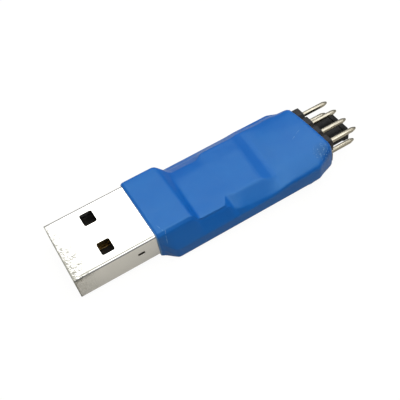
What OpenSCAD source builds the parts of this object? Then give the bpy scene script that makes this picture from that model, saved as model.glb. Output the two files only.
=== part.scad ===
// Serial adapter module with a plug at one end, a double row of header pins
// at the other, and a shrunk sleeve over the board between them.
// Lengths run from the mouth of the plug towards the pins, heights from the
// underside of the plug. The last step moves the part to its own origin.

/* [Plug shell] */
// Width of the plug
plug_w = 12.0; // [11:0.1:13]
// Height of the plug
plug_h = 4.5; // [4.3:0.1:5.2]
// Length of the plug shell
plug_len = 18.75; // [18:0.05:20]
// Thickness of the shell sheet
sheet_t = 0.3; // [0.2:0.05:0.4]
// Outer radius of the shell's bends
bend_r = 0.5; // [0.45:0.05:0.7]
// Length of each latch window
window_l = 2.1; // [1.5:0.1:2.5]
// Width of each latch window
window_w = 2.5; // [2:0.1:2.8]
// Distance from the mouth to the latch windows
window_x = 5.25; // [4:0.05:6]
// Distance between the two latch windows
window_gap = 3.8; // [3:0.1:4.4]
// Corner radius of a latch window
window_r = 0.35; // [0.2:0.05:0.6]
// Length of the small slot in each side wall
side_slot_l = 1.1; // [0.6:0.1:1.6]
// Height of the small side slot
side_slot_h = 0.45; // [0.3:0.05:0.6]
// Distance from the mouth to the middle of the side slot
side_slot_x = 10.4; // [9.5:0.1:12]
// Height of the side slot's middle
side_slot_z = 2.6; // [2.2:0.05:3]
// Gap of the folded seam under the shell
seam_gap = 0.06; // [0.04:0.01:0.12]
// Width of the dovetail lock of the seam
dovetail_w = 2.4; // [1.5:0.1:3.5]
// Width of the dovetail's neck
dovetail_neck = 1.44; // [1:0.02:1.8]
// Length of a solder leg along the plug
leg_l = 1.5; // [1:0.1:2]
// Distance from the rear of the shell to the middle of a leg
leg_back = 2.675; // [2.2:0.025:3]
// Width of the solder beside a leg
leg_solder_w = 0.6; // [0.3:0.05:0.8]
// Height of the solder beside a leg
leg_solder_h = 0.7; // [0.4:0.05:1]

/* [Plug insulator and contacts] */
// Thickness of the tongue
tongue_t = 1.9; // [1.6:0.05:2.0]
// Set-back of the tongue from the mouth
tongue_back = 0.4; // [0.2:0.1:1]
// Play of the insulator inside the shell
insulator_play = 0.05; // [0.02:0.01:0.1]
// Length of the full block behind the tongue
block_l = 5.95; // [5:0.05:6.5]
// Set-back of the block from the rear of the shell
block_back = 0.9; // [0.5:0.1:1.5]
// Width of a contact
contact_w = 1.0; // [0.7:0.1:1.2]
// Thickness of the contact strip
contact_t = 0.25; // [0.15:0.05:0.3]
// Pitch of the two data contacts
data_pitch = 2.0; // [1.8:0.1:2.4]
// Distance from the plug's side to the middle of a power contact
power_in = 2.5; // [2.3:0.1:2.8]
// Start of a power contact behind the mouth
power_start = 1.3; // [1:0.1:2]
// Start of a data contact behind the mouth
data_start = 2.3; // [2:0.1:3]
// Length of a contact tail on the board
tail_l = 1.3; // [0.8:0.1:1.5]
// Depth of the relief pockets under the latch windows
relief_d = 0.65; // [0.4:0.05:0.9]

/* [Circuit board] */
// Overhang of the board beyond each side of the plug
board_over = 1.2; // [0.9:0.05:1.6]
// Thickness of the board
board_t = 1.6; // [1.2:0.2:1.6]
// Height of the board's upper face above the plug's underside
board_top = 1.1; // [0.9:0.05:1.3]
// Length of the board under the plug
board_lap = 4.25; // [3.8:0.05:4.6]
// Corner chamfer at the plug end
board_cut = 1.2; // [0.8:0.1:1.4]
// Corner chamfer at the pin end
board_end_cut = 1.6; // [1.2:0.1:2]
// Clearance round a leg in its slot
slot_clear = 0.1; // [0.05:0.01:0.2]
// Clearance of an edge that meets another piece
edge_clear = 0.1; // [0.05:0.01:0.2]

/* [Crystal] */
// Length of the crystal across the board
crystal_w = 11.0; // [10:0.1:11.5]
// Width of the crystal along the board
crystal_l = 4.2; // [3.8:0.1:4.6]
// Height of the crystal with its base
crystal_h = 2.1; // [1.9:0.1:2.6]
// Distance from the rear of the shell to the crystal
crystal_gap = 2.45; // [2:0.05:3]
// Distance from the board's edge to the end of the crystal's base
crystal_edge = 0.7; // [0.5:0.1:1.2]
// Thickness of the crystal's base
crystal_base_t = 0.4; // [0.3:0.05:0.6]
// Width of the rim round the crystal's can
crystal_flange = 0.35; // [0.25:0.05:0.5]
// Thickness of the rim round the crystal's can
crystal_rim = 0.3; // [0.2:0.05:0.4]

/* [Interface chip] */
// Length of the chip body across the board
chip_w = 9.9; // [9:0.1:10.2]
// Width of the chip body along the board
chip_l = 3.9; // [3.7:0.1:4.1]
// Height of the chip above the board
chip_h = 1.8; // [1.6:0.05:1.9]
// Stand-off of the chip body
chip_lift = 0.15; // [0.1:0.05:0.25]
// Span of the chip over its leads
chip_span = 6.0; // [5.8:0.1:6.2]
// Gap between the crystal and the chip's leads
chip_gap = 1.5; // [1.3:0.05:2]
// Least distance from a lead to the end of the chip's body
lead_inset = 0.25; // [0.2:0.05:0.6]
// Pitch of the leads
lead_pitch = 1.27; // [1.27:0.01:1.27]
// Width of a lead
lead_w = 0.42; // [0.35:0.01:0.5]
// Thickness of a lead
lead_t = 0.2; // [0.15:0.01:0.25]
// Length of a lead's foot
lead_foot = 0.6; // [0.4:0.05:0.8]

/* [Small parts] */
// Width of a small part along the board
chip_part_w = 0.8; // [0.6:0.05:1]
// Length of a small part across the board
chip_part_l = 1.6; // [1.2:0.05:1.8]
// Length of a small part's end cap
end_cap = 0.32; // [0.2:0.02:0.4]
// Gap between the chip's leads and the resistors
resistor_gap = 0.7; // [0.5:0.05:1]
// Pitch of the resistors across the board
resistor_pitch = 2.1; // [2:0.05:2.4]
// Number of resistors
resistors_n = 5; // [1:1:5]
// Pitch of the ceramic capacitors across the board
ceramic_pitch = 2.3; // [2:0.05:2.6]
// Number of ceramic capacitors
ceramics_n = 4; // [1:1:4]
// Gap between the resistors and the row of larger parts
end_row_gap = 2.4; // [2:0.1:3]
// Length of the regulator along the board
regulator_l = 2.5; // [2:0.1:3]
// Width of the regulator across the board
regulator_w = 4.5; // [4:0.1:4.8]
// Height of the regulator
regulator_h = 1.5; // [1.3:0.1:1.6]
// Distance from the middle of the board to the regulator
regulator_y = 1.0; // [0.8:0.1:1.4]
// Pitch of the regulator's leads
regulator_pitch = 1.5; // [1.2:0.1:1.6]
// Length of a regulator lead outside its body
regulator_lead = 0.4; // [0.3:0.05:0.6]
// Thickness of a regulator lead
regulator_lead_t = 0.4; // [0.3:0.05:0.5]
// Length of the storage capacitor along the board
storage_l = 1.6; // [1.2:0.1:2]
// Width of the storage capacitor across the board
storage_w = 3.2; // [2.8:0.1:3.4]
// Height of the storage capacitor
storage_h = 1.3; // [1.1:0.1:1.5]
// Thickness of the storage capacitor's end plates
storage_plate = 0.1; // [0.08:0.01:0.15]
// Height of a small ceramic capacitor
ceramic_h = 0.8; // [0.6:0.1:0.9]
// Height of a resistor
resistor_h = 0.45; // [0.35:0.05:0.55]
// Height of a status lamp
lamp_h = 0.6; // [0.4:0.1:0.8]
// Gap on each side of a status lamp
lamp_gap = 0.45; // [0.3:0.05:0.6]

/* [Pin header] */
// Pitch of the pins
pitch = 2.54; // [2.54:0.01:2.54]
// Number of columns
columns = 4; // [4:1:4]
// Gap between the larger parts and the pins' tails
tail_gap = 0.76; // [0.6:0.02:1]
// Depth of the header body along the pins
header_d = 2.54; // [2.4:0.01:2.6]
// Height of the header body
header_h = 5.0; // [4.9:0.01:5.08]
// Corner cut of a header cell
cell_cut = 0.55; // [0.3:0.05:0.7]
// Thickness of a square pin
pin_t = 0.64; // [0.6:0.01:0.66]
// Length of a pin outside the body
pin_out = 5.4; // [5:0.1:6]
// Length of a pin's tail on the board
pin_tail = 2.9; // [2.5:0.1:3]
// Length of a pin's tapered tip
pin_tip = 0.8; // [0.5:0.1:1]
// Set-back of the lower row's pins
lower_back = 0.2; // [0:0.1:0.4]
// Radius of a solder fillet at a pin tail
solder_r = 0.85; // [0.8:0.01:0.9]

/* [Jumper] */
// Width of the jumper across two pins
jumper_w = 5.0; // [4.9:0.01:5.06]
// Thickness of the jumper
jumper_t = 2.4; // [2.2:0.01:2.5]
// Length of the jumper
jumper_l = 5.1; // [4.9:0.1:5.2]
// Gap between the jumper and the header
jumper_gap = 0.12; // [0.05:0.01:0.3]
// Corner cut of a jumper cell
jumper_cut = 0.4; // [0.2:0.05:0.5]
// Height of the grip lip at the jumper's end
lip_h = 0.15; // [0.1:0.01:0.2]
// Length of the grip lip
lip_l = 0.9; // [0.6:0.1:1.2]
// Side of a square socket in the jumper
socket_w = 1.5; // [1.4:0.02:1.6]
// Thickness of the jumper's spring strip
clip_t = 0.2; // [0.15:0.01:0.25]
// Thickness of the jumper's outer wall
jumper_wall = 0.6; // [0.5:0.1:0.8]
// Play between the spring strip and a pin
clip_play = 0.04; // [0.02:0.01:0.05]
// Width of a leaf of the spring strip
leaf_w = 0.9; // [0.7:0.05:1.1]
// Length of the bridge between two leaves
bridge_l = 0.9; // [0.6:0.05:1]
// Set-back of the leaves from the jumper's open end
leaf_back = 0.5; // [0.3:0.1:0.8]

/* [Shrunk sleeve] */
// Wall thickness of the sleeve
sleeve_t = 0.4; // [0.3:0.05:0.5]
// Play between the sleeve and what it covers
sleeve_play = 0.06; // [0.04:0.01:0.1]
// Length of the plug under the sleeve
sleeve_lap = 5.55; // [5.2:0.05:6.2]
// Length of the sleeve that grips the plug alone
grip_l = 0.2; // [0.1:0.05:0.4]
// Lean of the sleeve's cut edge across the plug
edge_lean = 0.01; // [0:0.005:0.05]
// Lean of the film's folds across the board
fold_lean = 0.06; // [0:0.01:0.08]
// Length of the header body left bare
sleeve_short = 1.2; // [0.9:0.1:1.5]
// Length of the film's fall behind the plug
fall_l = 2.1; // [1.9:0.1:2.2]
// Height of the film over the bare board behind the chip
dip_board = 0.8; // [0.5:0.05:1]
// Length over which the film drapes down from a high part
drape = 1.4; // [1:0.1:1.6]
// Distance from a chip lead's foot to where the film lies level on the chip
film_lead = 0.8; // [0.6:0.1:1.2]
// Distance of the film's upper bend from the edge of the bare board
film_bend = 1.6; // [1.2:0.1:2]
// Narrowing of the film's sides for each length beyond the board's corners
narrowing = 0.45; // [0.3:0.05:0.6]
// Height of the film's side fold above the board beside the chip
fold_chip = 0.6; // [0.4:0.05:0.8]
// Height of the film's side fold above the bare board
fold_bare = 0.2; // [0.15:0.05:0.3]
// Height of the film's side fold above the board at the cut end
fold_end = 1.2; // [0.8:0.1:1.4]

/* [Hidden] */
$fn = 48;
tiny = 0.01;

// Heights
board_low = board_top - board_t;
board_mid = board_top - board_t / 2;
row_up = board_mid + pitch / 2;
row_down = board_mid - pitch / 2;
header_top = board_mid + header_h / 2;
header_low = board_mid - header_h / 2;
tongue_top = sheet_t + insulator_play + tongue_t;
cavity_top = plug_h - sheet_t - insulator_play;

// Places along the part, each from the piece before it
board_x = plug_len - board_lap;
floor_end = board_x - edge_clear;
block_end = plug_len - block_back;
block_x = block_end - block_l;
leg_x = plug_len - leg_back;
sleeve_x = plug_len - sleeve_lap;
crystal_x = plug_len + crystal_gap;
crystal_end = crystal_x + crystal_l;
chip_x = crystal_end + chip_gap;
chip_mid = chip_x + chip_span / 2;
chip_end = chip_x + chip_span;
chip_leads_n = floor((chip_w - 2 * lead_inset - lead_w) / lead_pitch) + 1;
resistor_x = chip_end + resistor_gap;
end_row_x = resistor_x + chip_part_w + end_row_gap;
end_row_end = end_row_x + regulator_lead + regulator_l;
tail_x = end_row_end + tail_gap;
header_back = tail_x + pin_tail;
header_face = header_back + header_d;
board_end = header_back - edge_clear;
sleeve_end = header_face - sleeve_short;
jumper_x = header_face + jumper_gap;
total_len = header_face + pin_out;

// Half widths
board_half = plug_w / 2 + board_over;
half_in = plug_w / 2 - sheet_t;
power_y = plug_w / 2 - power_in;
crystal_shift = board_half - crystal_edge - crystal_w / 2;
lamp_y = regulator_y - lamp_gap - chip_part_l / 2;
storage_y = lamp_y - chip_part_l / 2 - lamp_gap - storage_plate - storage_w;
row_half = max(-storage_y, regulator_y + regulator_w);
window_side = pin_t / 2 + 2 * clip_play;
header_half = columns * pitch / 2 - (2 * pitch - header_h) / 2;
sleeve_r = sleeve_t + sleeve_play;
bottom_z = header_low - sleeve_r;

function column_y(k) = pitch * ((columns + 1) / 2 - k);

module place() {
    translate([-total_len / 2, 0, -bottom_z]) children();
}

// Square-cornered block given by its two opposite corners
module block(low, high) {
    translate(low) cube(high - low);
}

// Rectangle with rounded corners, centred
module round_rect(l, w, r) {
    square([l - 2 * r, w], center = true);
    square([l, w - 2 * r], center = true);
    for (i = [-1, 1], j = [-1, 1])
        translate([i * (l / 2 - r), j * (w / 2 - r)]) circle(r = r);
}

// Section of the plug seen from its mouth, drawn in width and height
module plug_section(inset, r) {
    translate([0, plug_h / 2]) round_rect(plug_w - 2 * inset, plug_h - 2 * inset, r);
}

// Carries a shape drawn in width and height along the part
module along(x, l) {
    translate([x, 0, 0]) rotate([90, 0, 90]) linear_extrude(height = l) children();
}

module latch_windows(z, h) {
    for (s = [-1, 1])
        translate([window_x + window_l / 2, s * (window_gap + window_w) / 2, z])
            linear_extrude(height = h) round_rect(window_l, window_w, window_r);
}

// Butt seam with a dovetail lock, as a thin cut seen from below
module seam() {
    lock_x = floor_end / 2;
    neck = dovetail_neck / 2;
    square([lock_x - neck, seam_gap]);
    translate([lock_x + neck, 0]) square([floor_end - lock_x - neck, seam_gap]);
    difference() {
        dovetail(lock_x, neck + seam_gap, seam_gap);
        dovetail(lock_x, neck, 0);
        translate([lock_x - dovetail_w, -1]) square([2 * dovetail_w, 1]);
    }
}

module dovetail(x, neck, grow) {
    tail = dovetail_w / 2;
    polygon([[x - neck, -tiny], [x + neck, -tiny],
             [x + tail + grow, tail + grow], [x - tail - grow, tail + grow]]);
}

module plug_shell() {
    place() color("lightgray") {
        difference() {
            along(0, plug_len) difference() {
                plug_section(0, bend_r);
                plug_section(sheet_t, bend_r - sheet_t);
            }
            latch_windows(plug_h - 2 * sheet_t, 3 * sheet_t);
            latch_windows(-sheet_t, 3 * sheet_t);
            block([floor_end, -plug_w, -plug_h], [plug_len + 1, plug_w, board_top]);
            translate([side_slot_x - side_slot_l / 2, -plug_w, side_slot_z - side_slot_h / 2])
                cube([side_slot_l, 2 * plug_w, side_slot_h]);
            translate([0, 0, -sheet_t]) linear_extrude(height = 3 * sheet_t) seam();
        }
        for (s = [-1, 1])
            translate([leg_x, s * (plug_w / 2 - sheet_t / 2), (board_low + board_top) / 2])
                cube([leg_l, sheet_t, board_t], center = true);
    }
}

module contact_groove(y, x0) {
    block([x0, y - contact_w / 2, tongue_top - contact_t], [block_end + 1, y + contact_w / 2, tongue_top]);
}

module plug_insulator() {
    half = half_in - insulator_play;
    base = sheet_t + insulator_play;
    place() color("#1c1c1e") difference() {
        union() {
            difference() {
                along(tongue_back, floor_end - tongue_back - edge_clear)
                    plug_section(sheet_t + insulator_play, bend_r - sheet_t);
                block([0, -plug_w, tongue_top], [block_x, plug_w, plug_h]);
            }
            block([block_x, -half + bend_r, board_top], [block_end, half - bend_r, cavity_top]);
            block([block_x, -half, board_top], [block_end, half, cavity_top - bend_r]);
        }
        for (s = [-1, 1]) {
            contact_groove(s * data_pitch / 2, data_start);
            contact_groove(s * power_y, power_start);
        }
        // Lead-in slope at the tip of the tongue
        translate([tongue_back - tiny, -plug_w, tongue_top])
            rotate([0, 35, 0]) cube([1, 2 * plug_w, 1]);
        // Relief pockets above the lower windows
        latch_windows(base - 1, 1 + relief_d);
    }
}

// Strip that lies in the tongue, then steps down to its tail on the board
module contact(y, x0) {
    low = tongue_top - contact_t;
    tail_end = plug_len + tail_l;
    step_x = block_end;
    step_l = 2 * contact_t;
    tip_l = 0.15;
    tip_drop = 0.1;
    place() color("#c9a34a") intersection() {
        translate([0, y + contact_w / 2, 0]) rotate([90, 0, 0])
            linear_extrude(height = contact_w)
                polygon([[x0, low], [step_x, low], [step_x + step_l, board_top],
                         [tail_end, board_top], [tail_end, board_top + contact_t],
                         [step_x + step_l + contact_t, board_top + contact_t],
                         [step_x + contact_t, tongue_top], [x0 + tip_l, tongue_top],
                         [x0, tongue_top - tip_drop]]);
        block([x0, y - contact_w / 2, 0], [tail_end, y + contact_w / 2, plug_h]);
    }
}
module contact_power() contact(power_y, power_start);
module contact_data_minus() contact(data_pitch / 2, data_start);
module contact_data_plus() contact(-data_pitch / 2, data_start);
module contact_ground() contact(-power_y, power_start);

module circuit_board() {
    half = board_half;
    slot_l = leg_l + 2 * slot_clear;
    slot_w = sheet_t + 2 * slot_clear;
    place() color("#1f5a8c") translate([0, 0, board_low]) linear_extrude(height = board_t)
        difference() {
            polygon([[board_x + board_cut, -half], [board_end - board_end_cut, -half],
                     [board_end, -half + board_end_cut], [board_end, half - board_end_cut],
                     [board_end - board_end_cut, half], [board_x + board_cut, half],
                     [board_x, half - board_cut], [board_x, -half + board_cut]]);
            for (s = [-1, 1])
                translate([leg_x, s * (plug_w / 2 - sheet_t / 2)])
                    round_rect(slot_l, slot_w, slot_w * 0.49);
        }
}

module crystal_base() {
    place() color("#2a2a2a") difference() {
        block([crystal_x, -crystal_w / 2 - crystal_shift, board_top],
              [crystal_end, crystal_w / 2 - crystal_shift, board_top + crystal_base_t]);
        // Recess in each end for the flattened lead
        for (s = [-1, 1])
            translate([crystal_x + crystal_l / 2, s * crystal_w / 2 - crystal_shift, board_top])
                cube([0.8, 1.6, 0.3], center = true);
    }
}

module crystal_can() {
    can_l = crystal_l - 2 * crystal_flange;
    place() color("silver") translate([crystal_x + crystal_l / 2, -crystal_shift,
                                        board_top + crystal_base_t]) {
        linear_extrude(height = crystal_rim)
            round_rect(crystal_l, crystal_w, crystal_l * 0.49);
        linear_extrude(height = crystal_h - crystal_base_t)
            round_rect(can_l, crystal_w - 2 * crystal_flange, can_l * 0.49);
    }
}

module chip_body() {
    low = board_top + chip_lift;
    high = board_top + chip_h;
    mid = (low + high) / 2;
    draft = 0.12;
    half = chip_l / 2;
    place() color("#202022") translate([chip_mid, chip_w / 2, 0]) difference() {
        rotate([90, 0, 0]) linear_extrude(height = chip_w)
            polygon([[-half + draft, low], [half - draft, low], [half, mid - 0.1], [half, mid + 0.1],
                     [half - draft, high], [-half + draft, high], [-half, mid + 0.1], [-half, mid - 0.1]]);
        translate([-half + 0.9, -0.9, high - 0.05]) cylinder(r = 0.35, h = 1);
    }
}

// Gull-wing lead, drawn in length and height and given its width
module lead() {
    mid = chip_lift + (chip_h - chip_lift) / 2;
    out = (chip_span - chip_l) / 2;
    rotate([90, 0, 0]) linear_extrude(height = lead_w, center = true)
        polygon([[0, mid + lead_t / 2], [0, mid - lead_t / 2], [0.25, mid - lead_t / 2],
                 [out - lead_foot, 0], [out, 0], [out, lead_t], [out - lead_foot + 0.15, lead_t],
                 [0.35, mid + lead_t / 2]]);
}

module chip_leads() {
    place() color("silver") translate([chip_mid, 0, board_top])
        for (k = [0 : chip_leads_n - 1], s = [0, 1])
            rotate([0, 0, 180 * s])
                translate([chip_l / 2, (k - (chip_leads_n - 1) / 2) * lead_pitch, 0]) lead();
}

module voltage_regulator() {
    x0 = end_row_x + regulator_lead;
    place() {
        color("#232325") block([x0, regulator_y, board_top],
                               [x0 + regulator_l, regulator_y + regulator_w, board_top + regulator_h]);
        color("silver") for (k = [-1, 0, 1])
            translate([end_row_x + regulator_lead / 2, regulator_y + regulator_w / 2 + k * regulator_pitch,
                       board_top + regulator_lead_t / 2])
                cube([regulator_lead, lead_w, regulator_lead_t], center = true);
    }
}

module storage_capacitor() {
    plate_h = storage_h * 0.55;
    place() translate([end_row_x, storage_y, board_top]) {
        color("#c98a2a") cube([storage_l, storage_w, storage_h]);
        color("silver") for (y = [-storage_plate, storage_w])
            translate([storage_l / 8, y, 0]) cube([storage_l * 0.75, storage_plate, plate_h]);
    }
}

// Small part with a body and two soldered end caps, laid across the board
module end_capped(x, y, h, body) {
    w = chip_part_w;
    l = chip_part_l;
    translate([x, y - l / 2, board_top]) {
        color(body) translate([0, end_cap, 0]) cube([w, l - 2 * end_cap, h]);
        color("silver") cube([w, end_cap, h]);
        color("silver") translate([0, l - end_cap, 0]) cube([w, end_cap, h]);
    }
}

module ceramic_capacitors() {
    x = (crystal_end + chip_x - chip_part_w) / 2;
    place() for (k = [0 : ceramics_n - 1])
        end_capped(x, (k - (ceramics_n - 1) / 2) * ceramic_pitch, ceramic_h, "#b79a78");
}

module resistors() {
    place() for (k = [0 : resistors_n - 1])
        end_capped(resistor_x, (k - (resistors_n - 1) / 2) * resistor_pitch, resistor_h, "#1b1b1b");
}

// Two lamps between the capacitor and the regulator
module status_lamps() {
    place() for (x = [end_row_x + regulator_lead, end_row_end - chip_part_w])
        end_capped(x, lamp_y, lamp_h, "#e8e4d0");
}

module plug_solder() {
    place() color("silver") for (s = [-1, 1])
        translate([leg_x - leg_l / 2, s * plug_w / 2, board_top])
            rotate([90, 0, 90]) linear_extrude(height = leg_l)
                polygon([[0, 0], [s * leg_solder_w, 0], [0, leg_solder_h]]);
}

module header_solder() {
    place() color("silver")
        for (s = [-1, 1], k = [1 : columns])
            difference() {
                translate([tail_x, column_y(k), s > 0 ? board_top : board_low])
                    rotate([0, 90, 0]) cylinder(r = solder_r, h = pin_tail - 2 * edge_clear);
                block([0, -plug_w, board_low], [header_face, plug_w, board_top]);
                block([0, column_y(k) - pin_t / 2, s > 0 ? row_up - pin_t / 2 : header_low],
                      [header_face, column_y(k) + pin_t / 2, s > 0 ? header_top : row_down + pin_t / 2]);
            }
}

// Octagon with its corners cut, one cell of a header or jumper
module cell(w, h, cut) {
    polygon([[-w / 2 + cut, -h / 2], [w / 2 - cut, -h / 2], [w / 2, -h / 2 + cut], [w / 2, h / 2 - cut],
             [w / 2 - cut, h / 2], [-w / 2 + cut, h / 2], [-w / 2, h / 2 - cut], [-w / 2, -h / 2 + cut]]);
}

module header_body() {
    edge = 2 * pitch - header_h;
    place() color("#202124") along(header_back, header_d) difference() {
        intersection() {
            for (k = [1 : columns], z = [row_up, row_down])
                translate([column_y(k), z]) cell(pitch + tiny, pitch + tiny, cell_cut);
            translate([0, board_mid]) square([columns * pitch - edge, header_h], center = true);
        }
        for (k = [1 : columns], z = [row_up, row_down])
            translate([column_y(k), z]) square(pin_t, center = true);
    }
}

// Square pin with a short taper at each end
module pin(k, z, back) {
    x0 = tail_x - back;
    x1 = header_face + pin_out - back;
    half = pin_t / 2;
    flat = pin_t * 0.22;
    outline = [[x0, -half], [x1 - pin_tip, -half], [x1, -flat],
               [x1, flat], [x1 - pin_tip, half], [x0, half]];
    place() color("#cfccbe") translate([0, column_y(k), z]) intersection() {
        translate([0, 0, -half]) linear_extrude(height = pin_t) polygon(outline);
        translate([0, half, 0]) rotate([90, 0, 0]) linear_extrude(height = pin_t) polygon(outline);
    }
}
module pin_upper_1() pin(1, row_up, 0);
module pin_upper_2() pin(2, row_up, 0);
module pin_upper_3() pin(3, row_up, 0);
module pin_upper_4() pin(4, row_up, 0);
module pin_lower_1() pin(1, row_down, lower_back);
module pin_lower_2() pin(2, row_down, lower_back);
module pin_lower_3() pin(3, row_down, lower_back);
module pin_lower_4() pin(4, row_down, lower_back);

module jumper_section(grow) {
    for (k = [2, 3])
        translate([column_y(k) + (k == 2 ? -1 : 1) * (pitch - jumper_w / 2) / 2, row_down])
            cell(jumper_w / 2 + tiny + grow, jumper_t + 2 * grow, jumper_cut);
}

module jumper_housing() {
    inner = jumper_l - jumper_wall;
    bridge_room = bridge_l + 2 * edge_clear;
    place() color("#1b1c1c") difference() {
        union() {
            along(jumper_x, jumper_l) jumper_section(0);
            along(jumper_x + jumper_l - lip_l, lip_l) jumper_section(lip_h);
        }
        for (k = [2, 3])
            block([jumper_x - tiny, column_y(k) - socket_w / 2, row_down - socket_w / 2],
                  [jumper_x + inner, column_y(k) + socket_w / 2, row_down + socket_w / 2]);
        // Room that joins the two sockets and holds the strip's bridge
        block([jumper_x + inner - bridge_room, -pitch / 2, row_down - socket_w / 2],
              [jumper_x + inner, pitch / 2, row_down + socket_w / 2]);
        // Window in the outer end, which lets the pins' tips through
        block([jumper_x + inner - tiny, -pitch / 2 - window_side, row_down - window_side],
              [jumper_x + jumper_l + tiny, pitch / 2 + window_side, row_down + window_side]);
    }
}

// Two pairs of leaves that grip the pins, joined by a web between them
module jumper_clip() {
    in_z = pin_t / 2 + clip_play;
    x0 = jumper_x + leaf_back;
    x1 = jumper_x + jumper_l - jumper_wall - edge_clear;
    place() color("#c8a75a") {
        for (s = [-1, 1]) {
            z = s > 0 ? row_down + in_z : row_down - in_z - clip_t;
            for (k = [2, 3])
                translate([x0, column_y(k) - leaf_w / 2, z]) cube([x1 - x0, leaf_w, clip_t]);
            block([x1 - bridge_l, -pitch / 2, z], [x1, pitch / 2, z + clip_t]);
        }
        block([x1 - bridge_l, -clip_t, row_down - in_z - clip_t], [x1, clip_t, row_down + in_z + clip_t]);
    }
}

// Value at x of a curve through pairs of place and value, level at each pair
function level_curve(x, t, i = 0) =
    i >= len(t) - 1 || x <= t[0][0] ? t[x <= t[0][0] ? 0 : len(t) - 1][1]
    : x <= t[i + 1][0]
        ? let (u = (x - t[i][0]) / (t[i + 1][0] - t[i][0]), s = u * u * (3 - 2 * u))
          t[i][1] + (t[i + 1][1] - t[i][1]) * s
        : level_curve(x, t, i + 1);

// Places and heights that the film takes from what it covers
snug = 0.02;
top_crystal = board_top + crystal_h;
top_chip = board_top + chip_h;
top_row = board_top + max(storage_h, regulator_h);
top_bare = board_top + dip_board;
fall_x = plug_len + edge_clear;
foot_x = fall_x + fall_l;
near_crystal = crystal_w / 2 + crystal_shift - crystal_flange;
far_crystal = crystal_w / 2 - crystal_shift - crystal_flange;
chip_on_x = chip_x + film_lead;
chip_off_x = chip_end - film_lead;
bare_x = chip_end + drape;
corner_x = board_end - board_end_cut;
spread_x = board_x + board_cut - edge_clear;
grip_x = sleeve_x + grip_l;
corner_in = bend_r * 0.58;

// Corners of the section that the film lies on, each as half width or height.
// The top is level, each side has a fold, and the board's edge spreads it.
function film_top(x) = level_curve(x, [
    [fall_x, plug_h], [foot_x, top_crystal], [crystal_end, top_crystal], [chip_on_x, top_chip],
    [chip_off_x, top_chip], [bare_x, top_bare], [end_row_x, top_row],
    [end_row_end, top_row], [header_back, header_top]]);
function top_near(x) = level_curve(x, [
    [fall_x, plug_w / 2 - corner_in], [foot_x, near_crystal], [crystal_end - edge_clear, near_crystal],
    [chip_x, chip_w / 2], [chip_off_x, chip_w / 2], [bare_x, board_half - film_bend],
    [end_row_x, -storage_y + snug], [header_back, header_half - snug]]);
function top_far(x) = level_curve(x, [
    [fall_x, plug_w / 2 - corner_in], [foot_x, far_crystal], [crystal_end, far_crystal],
    [chip_x, chip_w / 2], [chip_off_x, chip_w / 2], [bare_x, board_half - film_bend],
    [end_row_x, row_half], [end_row_end, row_half], [header_back, header_half - snug]]);
function fold_near(x) = level_curve(x, [
    [fall_x, plug_w / 2], [foot_x, near_crystal + 5 * snug], [crystal_end, near_crystal + 5 * snug],
    [chip_on_x, film_edge(x) - drape / 4], [bare_x, film_edge(x) - 4 * snug],
    [corner_x, film_edge(x) - 4 * snug], [sleeve_end, film_edge(x) - 5 * snug]]);
function fold_far(x) = level_curve(x, [
    [fall_x, plug_w / 2], [foot_x, (far_crystal + board_half) / 2],
    [crystal_end, (far_crystal + board_half) / 2],
    [chip_mid, film_edge(x) - drape / 2], [bare_x, film_edge(x) - 4 * snug],
    [corner_x, film_edge(x) - 4 * snug], [sleeve_end, film_edge(x) - 5 * snug]]);
function fold_near_z(x) = level_curve(x, [
    [fall_x, plug_h - corner_in], [foot_x, top_crystal - corner_in], [crystal_end, top_crystal - corner_in],
    [chip_on_x, board_top + 2 * fold_chip], [chip_mid, board_top + fold_chip],
    [bare_x, board_top + fold_bare], [corner_x, board_top + fold_bare],
    [sleeve_end, board_top + fold_end]]);
function fold_far_z(x) = level_curve(x, [
    [fall_x, plug_h - corner_in], [foot_x, board_top + 2 * fold_chip],
    [crystal_end, board_top + 2 * fold_chip],
    [chip_mid, board_top + fold_chip], [bare_x, board_top + fold_bare],
    [corner_x, board_top + fold_bare], [sleeve_end, board_top + fold_end]]);
function film_edge(x) = level_curve(x, [[grip_x, plug_w / 2 + snug], [spread_x, board_half + snug]])
    - narrowing * max(0, x - corner_x);
function edge_top(x) = level_curve(x, [
    [grip_x, plug_h * 0.6], [spread_x, board_top]]);
function edge_low(x) = level_curve(x, [
    [grip_x, plug_h * 0.3], [spread_x, board_low],
    [corner_x, board_low], [sleeve_end, board_low - board_t / 4]]);
function film_low(x) = level_curve(x, [
    [grip_x - edge_clear, 0], [board_x - edge_clear, board_low], [tail_x - drape, board_low],
    [tail_x - edge_clear, board_low - solder_r], [header_back, header_low]]);
function low_half(x) = level_curve(x, [
    [board_x - drape / 2, plug_w / 2 - 2 * snug], [spread_x, board_half - 4 * snug],
    [tail_x - drape, board_half - 4 * snug], [header_back, header_half]]);
function lean(x) = level_curve(x, [
    [sleeve_x, edge_lean], [plug_len, 0], [foot_x, fold_lean], [end_row_x, fold_lean], [corner_x, 0]]);

// One closed ring of the film at x, r away from the corners it lies on, each
// corner with the angles at which its bend starts and ends
arc_n = 4;
function film_ring(x, r) =
    let (e = film_edge(x), et = edge_top(x), el = edge_low(x),
         t = film_top(x), l = film_low(x), lh = low_half(x),
         corners = [[e, el, -40, 0], [e, et, 0, 25], [fold_far(x), fold_far_z(x), 25, 60],
                    [top_far(x), t, 60, 90], [-top_near(x), t, 90, 120],
                    [-fold_near(x), fold_near_z(x), 120, 155], [-e, et, 155, 180], [-e, el, 180, 220],
                    [-lh, l, 220, 270], [lh, l, 270, 320]])
    [for (c = corners, j = [0 : arc_n - 1])
        let (a = c[2] + (c[3] - c[2]) * j / (arc_n - 1), y = c[0] + r * cos(a))
        [x + lean(x) * y, y, c[1] + r * sin(a)]];

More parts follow.
